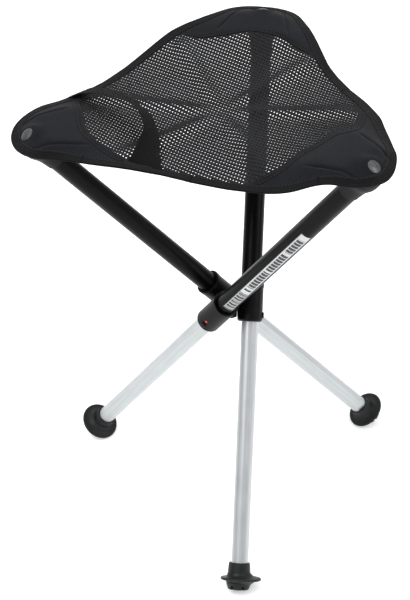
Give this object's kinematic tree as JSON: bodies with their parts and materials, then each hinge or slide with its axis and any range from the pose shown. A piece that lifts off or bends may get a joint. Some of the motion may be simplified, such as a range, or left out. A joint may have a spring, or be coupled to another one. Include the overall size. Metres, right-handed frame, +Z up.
{
  "type": "folding three-leg stool",
  "caption": "Folding field stool: telescopic crossed legs swing on a central hub and hold a three-cornered mesh sling seat.",
  "frame": {"origin": "middle of the bounding box, on the floor, with the stool open", "axes": "+Z up; leg c's pivot pin points along +X, so seat corner c lies near +Y and foot c near -Y"},
  "size_m": [0.4216, 0.4548, 0.5627],
  "materials": {
    "hub_plastic": "satin",
    "pin_steel": "satin",
    "tube_black": "satin",
    "collar_plastic": "satin",
    "cap_plastic": "matte",
    "rivet": "satin",
    "release_red": "gloss",
    "patch_fabric": "matte",
    "spring_steel": "satin",
    "tube_silver": "satin",
    "foot_rubber": "matte",
    "bush_plastic": "matte",
    "button_plastic": "satin",
    "mesh_fabric": "matte",
    "binding_fabric": "matte",
    "label_film": "satin",
    "band_fabric": "matte"
  },
  "bodies": {
    "hub": {"hub_core": "hub_plastic", "pivot_pins": "pin_steel"},
    "leg_a": {"upper_tube_a": "tube_black", "collar_a": "collar_plastic", "end_cap_a": "cap_plastic", "seat_rivet_a": "rivet", "release_mark_a": "release_red", "corner_patch_a": "patch_fabric", "button_spring_a": "spring_steel"},
    "lower_a": {"lower_tube_a": "tube_silver", "foot_a": "foot_rubber", "guide_bush_a": "bush_plastic"},
    "button_a": {"release_button_a": "button_plastic"},
    "panel_a": {"patch_tail_a": "patch_fabric", "seat_mesh_a": "mesh_fabric", "edge_binding_a": "binding_fabric", "corner_band": "band_fabric"},
    "leg_b": {"upper_tube_b": "tube_black", "collar_b": "collar_plastic", "end_cap_b": "cap_plastic", "seat_rivet_b": "rivet", "release_mark_b": "release_red", "corner_patch_b": "patch_fabric", "button_spring_b": "spring_steel", "leg_label": "label_film"},
    "lower_b": {"lower_tube_b": "tube_silver", "foot_b": "foot_rubber", "guide_bush_b": "bush_plastic"},
    "button_b": {"release_button_b": "button_plastic"},
    "panel_b": {"patch_tail_b": "patch_fabric", "seat_mesh_b": "mesh_fabric", "edge_binding_b": "binding_fabric"},
    "leg_c": {"upper_tube_c": "tube_black", "collar_c": "collar_plastic", "end_cap_c": "cap_plastic", "seat_rivet_c": "rivet", "release_mark_c": "release_red", "corner_patch_c": "patch_fabric", "button_spring_c": "spring_steel"},
    "lower_c": {"lower_tube_c": "tube_silver", "foot_c": "foot_rubber", "guide_bush_c": "bush_plastic"},
    "button_c": {"release_button_c": "button_plastic"},
    "panel_c": {"patch_tail_c": "patch_fabric", "seat_mesh_c": "mesh_fabric", "edge_binding_c": "binding_fabric"}
  },
  "joints": [
    {"name": "tilt_a", "type": "hinge", "parent": "hub", "child": "leg_a", "pos_m": [-0.00231, 0.01522, 0.27379], "axis": [-0.5, 0.866, 0], "range_deg": [0, 36], "deforming": ["corner_patch_a"]},
    {"name": "tilt_b", "type": "hinge", "parent": "hub", "child": "leg_b", "pos_m": [-0.00231, -0.02981, 0.27379], "axis": [-0.5, -0.866, 0], "range_deg": [0, 36], "deforming": ["corner_patch_b"]},
    {"name": "tilt_c", "type": "hinge", "parent": "hub", "child": "leg_c", "pos_m": [0.03669, -0.00729, 0.27379], "axis": [1, 0, 0], "range_deg": [0, 36], "deforming": ["corner_patch_c"]},
    {"name": "panel_fold_a", "type": "hinge", "parent": "leg_a", "child": "panel_a", "pos_m": [-0.15559, -0.07849, 0.55276], "axis": [-0.5, 0.866, 0], "range_deg": [0, 50], "deforming": ["patch_tail_a", "seat_mesh_a", "edge_binding_a", "corner_band"]},
    {"name": "panel_fold_b", "type": "hinge", "parent": "leg_b", "child": "panel_b", "pos_m": [0.15548, -0.1157, 0.55276], "axis": [-0.5, -0.866, 0], "range_deg": [0, 50], "deforming": ["patch_tail_b", "seat_mesh_b", "edge_binding_b"]},
    {"name": "panel_fold_c", "type": "hinge", "parent": "leg_c", "child": "panel_c", "pos_m": [0.03218, 0.1723, 0.55276], "axis": [1, 0, 0], "range_deg": [0, 50], "deforming": ["patch_tail_c", "seat_mesh_c", "edge_binding_c"]},
    {"name": "lower_slide_a", "type": "slide", "parent": "leg_a", "child": "lower_a", "axis": [-0.5332, -0.3078, 0.788], "range_m": [0, 0.27]},
    {"name": "lower_slide_b", "type": "slide", "parent": "leg_b", "child": "lower_b", "axis": [0.5332, -0.3078, 0.788], "range_m": [0, 0.27]},
    {"name": "lower_slide_c", "type": "slide", "parent": "leg_c", "child": "lower_c", "axis": [0, 0.6157, 0.788], "range_m": [0, 0.27]},
    {"name": "button_press_a", "type": "slide", "parent": "leg_a", "child": "button_a", "axis": [0.5, -0.866, 0], "range_m": [0, 0.0015], "stiffness_N_per_m": 400, "springref_m": -0.001, "deforming": ["button_spring_a"]},
    {"name": "button_press_b", "type": "slide", "parent": "leg_b", "child": "button_b", "axis": [0.5, 0.866, 0], "range_m": [0, 0.0015], "stiffness_N_per_m": 400, "springref_m": -0.001, "deforming": ["button_spring_b"]},
    {"name": "button_press_c", "type": "slide", "parent": "leg_c", "child": "button_c", "axis": [-1, 0, 0], "range_m": [0, 0.0015], "stiffness_N_per_m": 400, "springref_m": -0.001, "deforming": ["button_spring_c"]}
  ],
  "couplings": [
    {"joint": "tilt_b", "follows": "tilt_a", "ratio": 1},
    {"joint": "tilt_c", "follows": "tilt_a", "ratio": 1},
    {"joint": "panel_fold_a", "follows": "tilt_a", "ratio": 1.3889},
    {"joint": "panel_fold_b", "follows": "tilt_a", "ratio": 1.3889},
    {"joint": "panel_fold_c", "follows": "tilt_a", "ratio": 1.3889}
  ]
}
